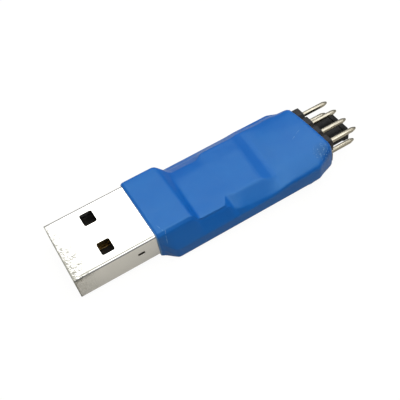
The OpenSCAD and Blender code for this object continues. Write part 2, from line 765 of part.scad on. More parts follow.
module shrink_sleeve() {
    spans = [[sleeve_x, 1], [grip_x, 4], [board_x, 3], [spread_x, 2], [fall_x, 7], [foot_x, 2],
             [crystal_end, 5],
             [chip_on_x, 3], [chip_off_x, 6], [bare_x, 5], [end_row_x, 2], [end_row_end, 3],
             [corner_x, 3], [header_back, 2]];
    xs = [for (i = [0 : len(spans) - 1])
             let (a = spans[i][0], b = i + 1 < len(spans) ? spans[i + 1][0] : sleeve_end)
             for (j = [0 : spans[i][1] - 1]) a + (b - a) * j / spans[i][1],
          sleeve_end];
    steps = len(xs) - 1;
    m = 10 * arc_n;
    outer = [for (x = xs) each film_ring(x, sleeve_t + sleeve_play)];
    inner = [for (x = xs) each film_ring(x, sleeve_play)];
    o = (steps + 1) * m;
    faces = concat(
        [for (i = [0 : steps - 1], j = [0 : m - 1])
            let (a = i * m + j, b = i * m + (j + 1) % m) each [[a, a + m, b + m], [a, b + m, b]]],
        [for (i = [0 : steps - 1], j = [0 : m - 1])
            let (a = o + i * m + j, b = o + i * m + (j + 1) % m) each [[a, b, b + m], [a, b + m, a + m]]],
        [for (j = [0 : m - 1]) let (a = j, b = (j + 1) % m) each [[a, b, o + b], [a, o + b, o + a]]],
        [for (j = [0 : m - 1]) let (a = steps * m + j, b = steps * m + (j + 1) % m)
            each [[a, o + b, b], [a, o + a, o + b]]]);
    place() color("#2b6cb8") polyhedron(points = concat(outer, inner), faces = faces);
}

plug_shell();
plug_insulator();
contact_power();
contact_data_minus();
contact_data_plus();
contact_ground();
circuit_board();
crystal_can();
crystal_base();
chip_body();
chip_leads();
voltage_regulator();
storage_capacitor();
ceramic_capacitors();
resistors();
status_lamps();
plug_solder();
header_solder();
header_body();
pin_upper_1();
pin_upper_2();
pin_upper_3();
pin_upper_4();
pin_lower_1();
pin_lower_2();
pin_lower_3();
pin_lower_4();
jumper_housing();
jumper_clip();
shrink_sleeve();
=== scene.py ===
import bmesh
import bpy
import math
import numpy as np
from mathutils import Matrix, Vector


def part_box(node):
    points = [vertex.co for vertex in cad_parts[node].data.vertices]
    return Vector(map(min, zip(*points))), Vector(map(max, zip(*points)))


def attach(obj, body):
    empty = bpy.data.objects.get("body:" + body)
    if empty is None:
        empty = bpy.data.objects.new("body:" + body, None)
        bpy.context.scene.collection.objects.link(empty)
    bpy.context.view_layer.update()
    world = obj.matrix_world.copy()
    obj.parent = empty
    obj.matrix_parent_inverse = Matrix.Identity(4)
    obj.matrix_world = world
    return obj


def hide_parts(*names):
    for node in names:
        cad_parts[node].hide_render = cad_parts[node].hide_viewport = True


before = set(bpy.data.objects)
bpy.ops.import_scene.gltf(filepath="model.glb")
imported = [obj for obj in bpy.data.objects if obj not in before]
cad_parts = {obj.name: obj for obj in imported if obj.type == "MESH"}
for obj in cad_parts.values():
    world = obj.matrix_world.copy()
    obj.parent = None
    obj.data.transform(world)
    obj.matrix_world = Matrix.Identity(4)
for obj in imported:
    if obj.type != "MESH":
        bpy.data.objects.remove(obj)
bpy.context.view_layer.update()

# Plug shell
# The shell is one strip of thin steel, stamped, folded round the moulding and
# closed by a seam underneath. It is plated bright, and its mouth is scuffed
# from being pushed into sockets.
MM = 0.001
plug_w, plug_h = 12.0 * MM, 4.5 * MM
mouth_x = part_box("plug_shell")[0].x
under_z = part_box("plug_shell")[1].z - plug_h


def finish(name, colour, rough, metal=0.0):
    """A material with one shader, and the shader itself."""
    made = bpy.data.materials.new(name)
    made.use_nodes = True
    shader = made.node_tree.nodes["Principled BSDF"]
    shader.inputs["Base Color"].default_value = (*colour, 1)
    shader.inputs["Roughness"].default_value = rough
    shader.inputs["Metallic"].default_value = metal
    return made, shader


def wire(made, kind, inputs, **options):
    """One more node in a material, with its values or links by socket."""
    tree = made.node_tree
    new = tree.nodes.new("ShaderNode" + kind)
    for key, value in options.items():
        setattr(new, key, value)
    for key, value in inputs.items():
        if isinstance(value, bpy.types.NodeSocket):
            tree.links.new(value, new.inputs[key])
        else:
            new.inputs[key].default_value = value
    return new.outputs[0]


def wire_all(made, kind, inputs):
    """As wire, but gives every output of the node."""
    return wire(made, kind, inputs).node.outputs


def maths(made, operation, a, b=0.0, clamp=False):
    return wire(made, "Math", {0: a, 1: b}, operation=operation, use_clamp=clamp)


def product(made, *factors):
    result = factors[0]
    for factor in factors[1:]:
        result = maths(made, "MULTIPLY", result, factor)
    return result


def at(made):
    """The place on the piece, in metres."""
    return made.node_tree.nodes.new("ShaderNodeTexCoord").outputs["Object"]


def speckle(made, where, per_mm, detail=2.0, rough=0.5, stretch=None):
    """Noise from 0 to 1, with so many grains in a millimetre."""
    if stretch:
        where = wire(made, "Mapping", {"Vector": where, "Scale": stretch})
    return wire(made, "TexNoise", {"Vector": where, "Scale": per_mm / MM,
                                   "Detail": detail, "Roughness": rough})


def blend(made, share, low, high):
    """Colour that goes from low to high with a share."""
    new = made.node_tree.nodes.new("ShaderNodeMix")
    new.data_type = "RGBA"
    made.node_tree.links.new(share, new.inputs["Factor"])
    for key, value in ((6, low), (7, high)):
        if isinstance(value, bpy.types.NodeSocket):
            made.node_tree.links.new(value, new.inputs[key])
        else:
            new.inputs[key].default_value = (*value, 1)
    return new.outputs[2]


def scale_to(made, value, low, high, to_low=0.0, to_high=1.0):
    return wire(made, "MapRange", {"Value": value, "From Min": low, "From Max": high,
                                   "To Min": to_low, "To Max": to_high})


def dent(made, shader, height, depth, strength=1.0):
    """Bump from a height of 0 to 1, depth metres deep."""
    bump = wire(made, "Bump", {"Height": height, "Distance": depth, "Strength": strength})
    made.node_tree.links.new(bump, shader.inputs["Normal"])


def feed(made, value, shader, socket):
    made.node_tree.links.new(value, shader.inputs[socket])


def hatch(made, where, turn, per_mm, stretch, low, high):
    """Fine strokes that run one way, turned about the upright."""
    turned = wire(made, "VectorRotate", {"Vector": where, "Angle": turn}, rotation_type="Z_AXIS")
    return scale_to(made, speckle(made, turned, per_mm, 2, 0.6, stretch), low, high)


def stroke(made, where, start, end, wide):
    """1 on a straight mark between two places seen from above, fading at its sides."""
    along = Vector((*end, 0)) - Vector((*start, 0))
    across = Vector((-along.y, along.x, 0)).normalized()
    off = wire(made, "VectorMath", {0: where, 1: (*start, 0)}, operation="SUBTRACT")
    run, side = [wire(made, "VectorMath", {0: off, 1: tuple(axis)},
                      operation="DOT_PRODUCT").node.outputs["Value"]
                 for axis in (along.normalized(), across)]
    centred = maths(made, "ABSOLUTE", maths(made, "SUBTRACT", run, along.length / 2))
    inside = scale_to(made, centred, 0.4 * along.length, 0.5 * along.length, 1.0, 0.0)
    beside = scale_to(made, maths(made, "ABSOLUTE", side), 0.3 * wide, 0.5 * wide, 1.0, 0.0)
    return product(made, inside, beside)


def eased(node, name, width, made, body="module", angle=25, opening=0.0):
    """A copy of a CAD solid with its sharp edges eased, which stands for it.

    The upright corners of openings in its top are rounded first, if asked."""
    same_place, flat_angle, top_band = 0.0005 * MM, math.radians(1), 0.5 * MM
    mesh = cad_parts[node].data.copy()
    mesh.name = name
    work = bmesh.new()
    work.from_mesh(mesh)
    bmesh.ops.remove_doubles(work, verts=work.verts, dist=same_place)
    bmesh.ops.dissolve_limit(work, angle_limit=flat_angle, verts=work.verts, edges=work.edges)
    if opening:
        crown = max(v.co.z for v in work.verts) - top_band
        upright = [e for e in work.edges if min(v.co.z for v in e.verts) > crown
                   and abs((e.verts[0].co - e.verts[1].co).normalized().z) > 0.99]
        bmesh.ops.bevel(work, geom=upright, offset=opening, segments=5, profile=0.5,
                        affect="EDGES", clamp_overlap=True)
    sharp = [e for e in work.edges if len(e.link_faces) == 2
             and e.calc_face_angle(0) > math.radians(angle)]
    bmesh.ops.bevel(work, geom=sharp, offset=width, segments=2, profile=0.5,
                    affect="EDGES", clamp_overlap=True)
    weighted = [sum((f.normal * f.calc_area() for f in v.link_faces), Vector()).normalized()
                for v in work.verts]
    work.to_mesh(mesh)
    work.free()
    for face in mesh.polygons:
        face.use_smooth = True
    mesh.normals_split_custom_set_from_vertices(weighted)
    mesh.materials.clear()
    mesh.materials.append(made)
    piece = bpy.data.objects.new(name, mesh)
    bpy.context.scene.collection.objects.link(piece)
    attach(piece, body)
    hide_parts(node)
    return piece


# The dull grey serves the scuffs, the mouth's edge, and a painted shade line along the near bend.
bright, marks_and_shade_grey = (0.83, 0.82, 0.79), (0.29, 0.285, 0.245)
plug_top, near_side = under_z + plug_h, -0.5 * plug_w
scuff_reach, scuff_share = 4.0 * MM, 2.2
lip_l, lip_fade, lip_rag = 0.08 * MM, 0.24 * MM, 0.5 * MM
bend_inset, bend_l, bend_w = 0.41 * MM, 14 * MM, 0.32 * MM
plating, shader = finish("bright_plating", bright, 0.16, 1.0)
place = at(plating)
xyz = wire_all(plating, "SeparateXYZ", {"Vector": place})
behind_mouth = maths(plating, "SUBTRACT", xyz[0], mouth_x)
from_mouth = scale_to(plating, behind_mouth, 0.0, scuff_reach, 1.0, 0.0)
to_corner = scale_to(plating, xyz[1], scuff_reach, near_side, 0.30, 1.0)
on_top = scale_to(plating, xyz[2], plug_top - 0.9 * MM, plug_top - 0.2 * MM, 0.25, 1.0)
patchy = scale_to(plating, speckle(plating, place, 0.55), 0.28, 0.48)
worn = product(plating, from_mouth, to_corner, on_top, patchy, scuff_share)
strokes = maths(plating, "MAXIMUM",
                hatch(plating, place, 0.7, 6.0, (0.22, 1.6, 1.0), 0.45, 0.60),
                hatch(plating, place, -0.6, 5.6, (1.8, 0.25, 1.0), 0.46, 0.61))
marks_and_bend_shade = maths(plating, "MULTIPLY", strokes, worn, clamp=True)
ragged = product(plating, maths(plating, "SUBTRACT", speckle(plating, place, 1.6, 3, 0.6), 0.5), lip_rag)
lip = scale_to(plating, maths(plating, "ADD", behind_mouth, ragged), lip_l, lip_fade, 1.0, 0.0)
# A thin dull line a little inside the near edge is painted shade, where the top starts to bend down into
# the side.
bend_y = near_side + bend_inset
bend_shade_line = stroke(plating, place, (mouth_x, bend_y), (mouth_x + bend_l, bend_y), bend_w)
marks_and_bend_shade = maths(plating, "MAXIMUM", marks_and_bend_shade, maths(plating, "MAXIMUM", lip, bend_shade_line))
hairline = speckle(plating, place, 1.2, 4, 0.7, (0.25, 6.0, 6.0))
feed(plating, blend(plating, marks_and_bend_shade, bright, marks_and_shade_grey), shader, "Base Color")
feed(plating, maths(plating, "ADD", scale_to(plating, hairline, 0.3, 0.7, 0.10, 0.18),
                    product(plating, marks_and_bend_shade, 0.25)), shader, "Roughness")
dent(plating, shader, maths(plating, "SUBTRACT", product(plating, hairline, 0.15), marks_and_bend_shade),
     0.002 * MM, 0.4)
shell = eased("plug_shell", "plug_shell_plated", 0.05 * MM, plating, opening=0.4 * MM)

# Insulator and its contacts
# The insulator is one black moulding with a tongue that carries four strips of
# gold-plated copper alloy in grooves. It fills the rear of the shell.
moulding, shader = finish("black_moulding", (0.012, 0.011, 0.010), 0.42)
place = at(moulding)
grain = speckle(moulding, place, 9.0, 3, 0.6)
feed(moulding, blend(moulding, scale_to(moulding, speckle(moulding, place, 0.6), 0.3, 0.7),
                     (0.010, 0.009, 0.008), (0.017, 0.015, 0.013)), shader, "Base Color")
feed(moulding, scale_to(moulding, grain, 0.3, 0.7, 0.36, 0.5), shader, "Roughness")
dent(moulding, shader, grain, 0.008 * MM, 0.5)
tongue = eased("plug_insulator", "plug_tongue", 0.05 * MM, moulding)

# The gold is set far below bright gold as painted shade, for contacts that sit deep inside the shell; the
# streaks in it are rubbed plating.
shaded_gilding, shader = finish("gold_plating", (0.45, 0.32, 0.12), 0.3, 1.0)
place = at(shaded_gilding)
rubbed = speckle(shaded_gilding, place, 1.6, 4, 0.6, (0.3, 4.0, 4.0))
feed(shaded_gilding, blend(shaded_gilding, scale_to(shaded_gilding, rubbed, 0.42, 0.56),
                    (0.52, 0.37, 0.14), (0.20, 0.14, 0.055)), shader, "Base Color")
feed(shaded_gilding, scale_to(shaded_gilding, rubbed, 0.3, 0.7, 0.18, 0.36), shader, "Roughness")
dent(shaded_gilding, shader, rubbed, 0.004 * MM, 0.5)
for name in ("contact_power", "contact_data_minus", "contact_data_plus", "contact_ground"):
    eased(name, name + "_gilt", 0.03 * MM, shaded_gilding)

# Circuit board
# A laminate of woven glass under a solder mask. It carries the parts, and the
# legs of the plug stand in slots near its front.
mask, shader = finish("solder_mask", (0.010, 0.055, 0.16), 0.3)
place = at(mask)
threads = [wire(mask, "TexWave", {"Vector": place, "Scale": 0.35 / MM, "Distortion": 0.4},
                bands_direction=way) for way in "XY"]
weave = product(mask, *threads)
feed(mask, blend(mask, scale_to(mask, speckle(mask, place, 0.5), 0.3, 0.7),
                 (0.008, 0.045, 0.14), (0.014, 0.07, 0.19)), shader, "Base Color")
dent(mask, shader, weave, 0.01 * MM, 0.4)
board = eased("circuit_board", "board_masked", 0.04 * MM, mask)

# Parts on the board
# A crystal lies across the board behind the plug, then a chip with sixteen
# leads, and small resistors, capacitors, lamps and a regulator before the pins.
tin, shader = finish("soldered_tin", (0.70, 0.70, 0.68), 0.3, 1.0)
place = at(tin)
ripple = speckle(tin, place, 2.5, 3, 0.5)
feed(tin, blend(tin, ripple, (0.62, 0.61, 0.59), (0.78, 0.78, 0.76)), shader, "Base Color")
feed(tin, scale_to(tin, ripple, 0.3, 0.7, 0.2, 0.42), shader, "Roughness")
dent(tin, shader, ripple, 0.02 * MM, 0.5)
epoxy, shader = finish("moulded_epoxy", (0.016, 0.016, 0.018), 0.55)
place = at(epoxy)
grit = speckle(epoxy, place, 12.0, 2, 0.7)
feed(epoxy, blend(epoxy, grit, (0.012, 0.012, 0.014), (0.024, 0.024, 0.026)), shader, "Base Color")
dent(epoxy, shader, grit, 0.01 * MM, 0.6)
SMALL_PARTS = (
    # node, eased edge in millimetres, slot, and a material or a colour of its own
    ("crystal_can", 0.06, "can", tin), ("crystal_base", 0.03, "chip", epoxy),
    ("chip_body", 0.05, "chip", epoxy), ("chip_leads", 0.02, "lead", tin),
    ("voltage_regulator", 0.04, "chip", epoxy),
    ("storage_capacitor", 0.05, "tantalum", (0.55, 0.25, 0.03)),
    ("ceramic_capacitors", 0.03, "ceramic", (0.30, 0.20, 0.11)),
    ("resistors", 0.02, "resistor", (0.02, 0.02, 0.02)),
    ("status_lamps", 0.03, "lamp", (0.75, 0.72, 0.55)),
    ("plug_solder", 0.02, "solder", tin), ("header_solder", 0.04, "solder", tin))
for name, edge, slot, surface in SMALL_PARTS:
    if isinstance(surface, tuple):
        body_colour = surface
        surface, shader = finish(slot + "_body", body_colour, 0.35)
        spots = speckle(surface, at(surface), 5.0, 3, 0.6)
        darker = tuple(0.7 * c for c in body_colour)
        feed(surface, blend(surface, spots, darker, body_colour), shader, "Base Color")
        dent(surface, shader, spots, 0.008 * MM, 0.5)
    eased(name, name + "_fitted", edge * MM, surface)

# Pin header
# Four columns of two cells are moulded in one black body, with cut corners
# between the cells, and eight square pins are pressed through it.
header_black, shader = finish("header_black", (0.013, 0.012, 0.013), 0.5)
shader.inputs["Specular IOR Level"].default_value = 0.35
place = at(header_black)
grain = speckle(header_black, place, 7.0, 3, 0.6)
feed(header_black, blend(header_black, scale_to(header_black, speckle(header_black, place, 0.9), 0.3, 0.7),
                         (0.010, 0.009, 0.010), (0.017, 0.016, 0.017)), shader, "Base Color")
feed(header_black, scale_to(header_black, grain, 0.3, 0.7, 0.38, 0.52), shader, "Roughness")
dent(header_black, shader, grain, 0.01 * MM, 0.5)
header = eased("header_body", "header_moulding", 0.06 * MM, header_black)

columns, pitch, pin_t, pin_tip = 4, 2.54 * MM, 0.64 * MM, 0.8 * MM
pin_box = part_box("pin_upper_1")
low_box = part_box("pin_lower_1")
pin_metal, shader = finish("tinned_pin", (0.66, 0.63, 0.54), 0.28, 1.0)
place = at(pin_metal)
drawn = speckle(pin_metal, place, 2.0, 4, 0.65, (0.2, 5.0, 5.0))
feed(pin_metal, blend(pin_metal, scale_to(pin_metal, drawn, 0.35, 0.7),
                      (0.60, 0.56, 0.46), (0.30, 0.27, 0.20)), shader, "Base Color")
feed(pin_metal, scale_to(pin_metal, drawn, 0.3, 0.7, 0.2, 0.42), shader, "Roughness")
dent(pin_metal, shader, drawn, 0.008 * MM, 0.5)


def pin_blank():
    """One square pin along x from 0, with rounded long edges and both ends tapered."""
    length = pin_box[1].x - pin_box[0].x
    half, cut, tail_l = pin_t / 2, 0.07 * MM, 0.12 * MM
    # place along the pin, and share of the full thickness there
    stations = ((0, 0.80), (tail_l, 1.0), (length - pin_tip, 1.0), (length - 0.55 * pin_tip, 0.80),
                (length - 0.12 * pin_tip, 0.50), (length, 0.34))
    work = bmesh.new()
    rings = []
    for x, share in stations:
        ring = []
        for sy, sz in ((1, 1), (-1, 1), (-1, -1), (1, -1)):
            corner = [(half, half - cut), (half - 0.3 * cut, half - 0.3 * cut), (half - cut, half)]
            if sy * sz < 0:
                corner.reverse()
            ring += [work.verts.new((x, sy * y * share, sz * z * share)) for y, z in corner]
        rings.append(ring)
    for a, b in zip(rings, rings[1:]):
        for k in range(len(a)):
            j = (k + 1) % len(a)
            work.faces.new((a[k], a[j], b[j], b[k]))
    work.faces.new(rings[0])
    work.faces.new(rings[-1])
    bmesh.ops.recalc_face_normals(work, faces=work.faces)
    mesh = bpy.data.meshes.new("pin_blank")
    work.to_mesh(mesh)
    work.free()
    for face in mesh.polygons:
        face.use_smooth = True
    mesh.set_sharp_from_angle(angle=math.radians(35))
    blank = bpy.data.objects.new("pin_blank", mesh)
    bpy.context.scene.collection.objects.link(blank)
    return blank


def pin_row(name, blank, start, columns):
    """A row of pins set out by geometry nodes, as one plain mesh."""
    tree = bpy.data.node_groups.new(name + "_rule", "GeometryNodeTree")
    face = tree.interface
    face.new_socket("Geometry", in_out="OUTPUT", socket_type="NodeSocketGeometry")
    for label, kind in (("Pin", "NodeSocketObject"), ("Columns", "NodeSocketInt"),
                        ("Pitch", "NodeSocketFloat"), ("Metal", "NodeSocketMaterial")):
        face.new_socket(label, in_out="INPUT", socket_type=kind)
    give = tree.nodes.new("NodeGroupInput").outputs
    line = tree.nodes.new("GeometryNodeMeshLine")
    step = tree.nodes.new("ShaderNodeCombineXYZ")
    info = tree.nodes.new("GeometryNodeObjectInfo")
    put = tree.nodes.new("GeometryNodeInstanceOnPoints")
    real = tree.nodes.new("GeometryNodeRealizeInstances")
    coat = tree.nodes.new("GeometryNodeSetMaterial")
    out = tree.nodes.new("NodeGroupOutput")
    links = tree.links
    links.new(give["Pitch"], step.inputs["Y"])
    links.new(step.outputs[0], line.inputs["Offset"])
    links.new(give["Columns"], line.inputs["Count"])
    links.new(give["Pin"], info.inputs["Object"])
    links.new(line.outputs["Mesh"], put.inputs["Points"])
    links.new(info.outputs["Geometry"], put.inputs["Instance"])
    links.new(put.outputs["Instances"], real.inputs["Geometry"])
    links.new(real.outputs["Geometry"], coat.inputs["Geometry"])
    links.new(give["Metal"], coat.inputs["Material"])
    links.new(coat.outputs["Geometry"], out.inputs["Geometry"])
    carrier = bpy.data.objects.new(name, bpy.data.meshes.new(name))
    bpy.context.scene.collection.objects.link(carrier)
    rule = carrier.modifiers.new("rule", "NODES")
    rule.node_group = tree
    values = {"Pin": blank, "Columns": columns, "Pitch": pitch, "Metal": pin_metal}
    for item in face.items_tree:
        if item.in_out == "INPUT":
            rule[item.identifier] = values[item.name]
    view = bpy.context.evaluated_depsgraph_get()
    mesh = bpy.data.meshes.new_from_object(carrier.evaluated_get(view))
    carrier.modifiers.remove(rule)
    mesh.transform(Matrix.Translation(start))
    carrier.data = mesh
    return carrier


blank = pin_blank()
for row, box in (("upper", pin_box), ("lower", low_box)):
    start = Vector((box[0].x, (1 - columns) / 2 * pitch, (box[0].z + box[1].z) / 2))
    pins = pin_row("pins_" + row, blank, start, columns)
    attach(pins, "module")
    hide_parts(*["pin_%s_%d" % (row, k + 1) for k in range(columns)])
bpy.data.objects.remove(blank)

# Jumper
# A small black cap with a spring strip inside. It is pushed over the two
# middle pins of the lower row and joins them.
jumper_black, shader = finish("jumper_black", (0.006, 0.006, 0.006), 0.45)
shader.inputs["Specular IOR Level"].default_value = 0.2
place = at(jumper_black)
grain = speckle(jumper_black, place, 6.0, 3, 0.6)
feed(jumper_black, blend(jumper_black, scale_to(jumper_black, speckle(jumper_black, place, 0.8), 0.3, 0.7),
                         (0.005, 0.005, 0.005), (0.008, 0.008, 0.008)), shader, "Base Color")
feed(jumper_black, scale_to(jumper_black, grain, 0.3, 0.7, 0.32, 0.5), shader, "Roughness")
dent(jumper_black, shader, grain, 0.01 * MM, 0.5)
eased("jumper_housing", "jumper_cap", 0.06 * MM, jumper_black, "jumper")
spring, shader = finish("spring_brass", (0.62, 0.42, 0.18), 0.3, 1.0)
place = at(spring)
rolled = speckle(spring, place, 3.0, 3, 0.6, (0.3, 3.0, 3.0))
feed(spring, blend(spring, rolled, (0.5, 0.33, 0.14), (0.7, 0.5, 0.24)), shader, "Base Color")
dent(spring, shader, rolled, 0.005 * MM, 0.5)
eased("jumper_clip", "jumper_spring_strip", 0.02 * MM, spring, "jumper")

# Shrunk sleeve
# A length of blue tube shrunk with hot air over the rear of the plug, the
# board and the foot of the header. It lies tight on the high parts, bridges
# the dips between them and is cut square at both ends.
# All in millimetres, behind the plug's mouth and above its underside.
sleeve_t, sleeve_play, sleeve_lip = 0.40, 0.06, 0.22
sleeve_x, sleeve_end = 13.2, 44.7
plug_end, crystal_x, crystal_end, chip_x, chip_end = 18.85, 20.95, 25.4, 26.9, 32.1
dip_x, rows_x, under_x, waist_x, header_x = 34.3, 36.8, 39.06, 41.66, 43.36
wide_x, board_side, board_under = 15.6, 7.22, -0.5
waist_from, waist_slope = 41.4, 0.5
rim_round, upper_z, upper_fade, drawn_z, drawn_side = 0.3, 1.5, 0.5, 3.3, 3


def level_curve(x, keys):
    """Curve through pairs of place and value, level at each pair."""
    keys = np.array(keys, float)
    i = np.clip(np.searchsorted(keys[:, 0], x, side="right") - 1, 0, len(keys) - 2)
    u = np.clip((x - keys[i, 0]) / (keys[i + 1, 0] - keys[i, 0]), 0, 1)
    return keys[i, 1] + (keys[i + 1, 1] - keys[i, 1]) * u * u * (3 - 2 * u)


# Each curve is a list of places along the sleeve with a value there: the height
# of the level top, the half widths of that top, the folds between top and side,
# the board's edges, and the flat under them.
TOP = ((19.0, 4.5), (19.4, 4.38), (20.5, 3.38), (21.0, 3.30), (23.5, 3.24), (chip_end, 2.97), (32.7, 2.87),
       (dip_x, 2.34), (35.2, 2.22), (36.2, 2.38), (37.4, 2.54), (39.2, 2.68), (40.6, 2.76), (header_x, 2.8))
TOP_NEAR = ((plug_end, 5.71), (crystal_x, 6.15), (25.1, 6.15), (26.1, 4.6), (27.3, 5.0), (chip_end, 4.9),
            (dip_x, 5.3), (rows_x, 4.82), (header_x, 5.02))
TOP_FAR = ((plug_end, 5.71), (crystal_x, 4.15), (crystal_end, 4.15), (chip_x, 4.95), (chip_end, 4.95),
           (dip_x, 5.6), (rows_x, 5.5), (39.7, 5.5), (header_x, 5.02))
SIDE_NEAR = ((plug_end, 6.0), (crystal_x, 6.25), (crystal_end, 6.25), (27.7, 6.87), (dip_x, 7.14))
SIDE_NEAR_Z = ((plug_end, 4.21), (crystal_x, 2.91), (crystal_end, 2.91), (26.7, 1.9), (29.9, 1.45),
               (33.6, 1.3), (37.6, 2.1), (sleeve_end, 2.3))
SIDE_FAR = ((plug_end, 6.0), (crystal_x, 5.68), (crystal_end, 5.68), (29.9, 6.52), (dip_x, 7.14))
SIDE_FAR_Z = ((plug_end, 4.21), (crystal_x, 2.3), (crystal_end, 2.3), (29.9, 1.7), (dip_x, 1.3),
              (waist_x, 1.3), (sleeve_end, 2.3))
EDGE = ((13.4, 6.02), (wide_x, board_side))
EDGE_TOP_FAR = ((13.4, 2.7), (wide_x, 1.1))
EDGE_TOP_NEAR = (*EDGE_TOP_FAR, (33.8, 1.1), (38.2, 1.75))
EDGE_LOW = ((13.4, 1.35), (wide_x, board_under), (waist_x, board_under), (sleeve_end, -0.9))
UNDER = ((13.8, 5.96), (wide_x, 7.12), (under_x, 7.12), (header_x, 5.04))
UNDER_Z = ((13.3, 0.0), (14.4, board_under), (under_x, board_under), (40.36, -1.35), (header_x, -2.2))
# Slant of a ring across the sleeve, share of the arch over the pins' rows, slope
# of the far strip of the top, and how far the cut end draws out at the near side.
LEAN = ((sleeve_x, 0.01), (18.75, 0.0), (crystal_x, 0.06), (chip_end, 0.09), (rows_x, 0.09), (waist_x, 0.0),
        (sleeve_end, -0.04))
ARCHED = ((34.5, 0.0), (38.0, 1.0))
FAR_FALL = ((20.3, 0.0), (21.3, 0.16), (crystal_end, 0.16), (chip_x, 0.05), (33.0, 0.05), (35.0, 0.0))
DRAWN_OUT = ((42.4, 0.0), (sleeve_end, 0.15))


def film_rings(xs, reach):
    """Closed rings of the film, reach away from its corners, as an array of points."""
    waist = waist_slope * np.maximum(0, xs - waist_from)
    top = np.interp(xs, *zip(*TOP))
    edge = level_curve(xs, EDGE) - waist
    edge_low, flat, flat_z = [level_curve(xs, keys) for keys in (EDGE_LOW, UNDER, UNDER_Z)]
    # half width, height, and the directions in degrees between which it bends
    corners = ((edge, edge_low, -40, 0), (edge, level_curve(xs, EDGE_TOP_FAR), 0, 25),
               (level_curve(xs, SIDE_FAR) - waist, level_curve(xs, SIDE_FAR_Z), 25, 60),
               (level_curve(xs, TOP_FAR), top, 60, 90), (-level_curve(xs, TOP_NEAR), top, 90, 120),
               (waist - level_curve(xs, SIDE_NEAR), level_curve(xs, SIDE_NEAR_Z), 120, 155),
               (-edge, level_curve(xs, EDGE_TOP_NEAR), 155, 180), (-edge, edge_low, 180, 220),
               (-flat, flat_z, 220, 270), (flat, flat_z, 270, 320))
    rings = []
    for k, (y, z, first, last) in enumerate(corners):
        turn = np.radians(np.linspace(first, last, bend_points))[None, :]
        bend = np.stack([y[:, None] + reach[:, None] * np.cos(turn),
                         z[:, None] + reach[:, None] * np.sin(turn)], -1)
        next_y, next_z, next_first, _ = corners[(k + 1) % len(corners)]
        turn = math.radians(next_first)
        start = bend[:, -1]
        end = np.stack([next_y + reach * math.cos(turn), next_z + reach * math.sin(turn)], -1)
        share = np.linspace(0, 1, flat_points[k] + 2)[1:-1]
        rings += [bend, start[:, None] + (end - start)[:, None] * share[None, :, None]]
    yz = np.concatenate(rings, 1)
    y, z = yz[..., 0], yz[..., 1]
    low_share = np.clip((drawn_z - z) / drawn_z, 0, 1)
    near_share = np.clip(-y / drawn_side - 1, 0, 1)
    x = xs[:, None] + level_curve(xs, LEAN)[:, None] * y
    x += level_curve(xs, DRAWN_OUT)[:, None] * low_share * near_share
    return np.concatenate([x[..., None], yz], -1)


ring_count, bend_points, inner_step = 331, 5, 6
arch_passes, film_passes = 40, 12
flat_points = (8, 6, 14, 44, 14, 6, 8, 8, 20, 8)
xs = np.linspace(sleeve_x, sleeve_end, ring_count)
from_end = np.clip(np.minimum(xs - sleeve_x, sleeve_end - xs) / rim_round, 0, 1)
reach = sleeve_play + sleeve_t - sleeve_lip * (1 - np.sqrt(1 - (1 - from_end) ** 2))
outer = film_rings(xs, reach)
upper = np.clip((outer[..., 2] - upper_z) / upper_fade, 0, 1)
arched = level_curve(xs, ARCHED)[:, None] * upper
arch_h, arch_far, arch_near, far_strip, far_strip_w = 0.2, 0.014, 0.008, 2.4, 1.75
outer[..., 2] += arched * (arch_h - np.where(outer[..., 1] > 0, arch_far, arch_near) * outer[..., 1] ** 2)
outer[..., 2] -= (level_curve(xs, FAR_FALL)[:, None] * upper
                  * np.clip(outer[..., 1] - far_strip, 0, far_strip_w))
# The arch is drawn smooth round each ring, then the whole film both ways.
for _ in range(arch_passes):
    drawn = (np.roll(outer, 1, 1) + np.roll(outer, -1, 1)) / 2 - outer
    outer += 0.5 * arched[..., None] * drawn
for _ in range(film_passes):
    inside = outer[1:-1]
    beside = np.roll(inside, 1, 1) + np.roll(inside, -1, 1)
    outer[1:-1] = 0.4 * inside + 0.15 * (outer[:-2] + outer[2:] + beside)
inner = film_rings(xs, np.full(ring_count, sleeve_play))[::inner_step]

around = outer.shape[1]
points = np.concatenate([outer.reshape(-1, 3), inner.reshape(-1, 3)])
faces = []


def skin(first, rings, inward):
    """Faces between rings of points, from the first point's number on."""
    for i in range(rings - 1):
        for j in range(around):
            a, b = first + i * around + j, first + i * around + (j + 1) % around
            quad = (a, a + around, b + around, b)
            faces.append(quad[::-1] if inward else quad)


outer_count = len(outer) * around
skin(0, len(outer), False)
skin(outer_count, len(inner), True)
for j in range(around):
    k = (j + 1) % around
    end, inner_end = outer_count - around, outer_count + (len(inner) - 1) * around
    faces.append((j, k, outer_count + k, outer_count + j))
    faces.append((end + k, end + j, inner_end + j, inner_end + k))
points = points * MM + np.array([mouth_x, 0, under_z])
mesh = bpy.data.meshes.new("shrunk_film")
mesh.from_pydata(points.tolist(), [], faces)
mesh.update()
for face in mesh.polygons:
    face.use_smooth = True
mesh.set_sharp_from_angle(angle=math.radians(50))
film, shader = finish("blue_film", (0.002, 0.115, 0.465), 0.36)
shader.inputs["Specular Tint"].default_value = (0.6, 1.0, 0.75, 1)
place = at(film)
film_xyz = wire_all(film, "SeparateXYZ", {"Vector": place})
skin_noise = speckle(film, place, 2.2, 3, 0.5)
swell = speckle(film, place, 0.32, 1, 0.4)
cloud = scale_to(film, speckle(film, place, 0.18), 0.3, 0.7)
blue = blend(film, cloud, (0.001, 0.108, 0.455), (0.003, 0.122, 0.475))
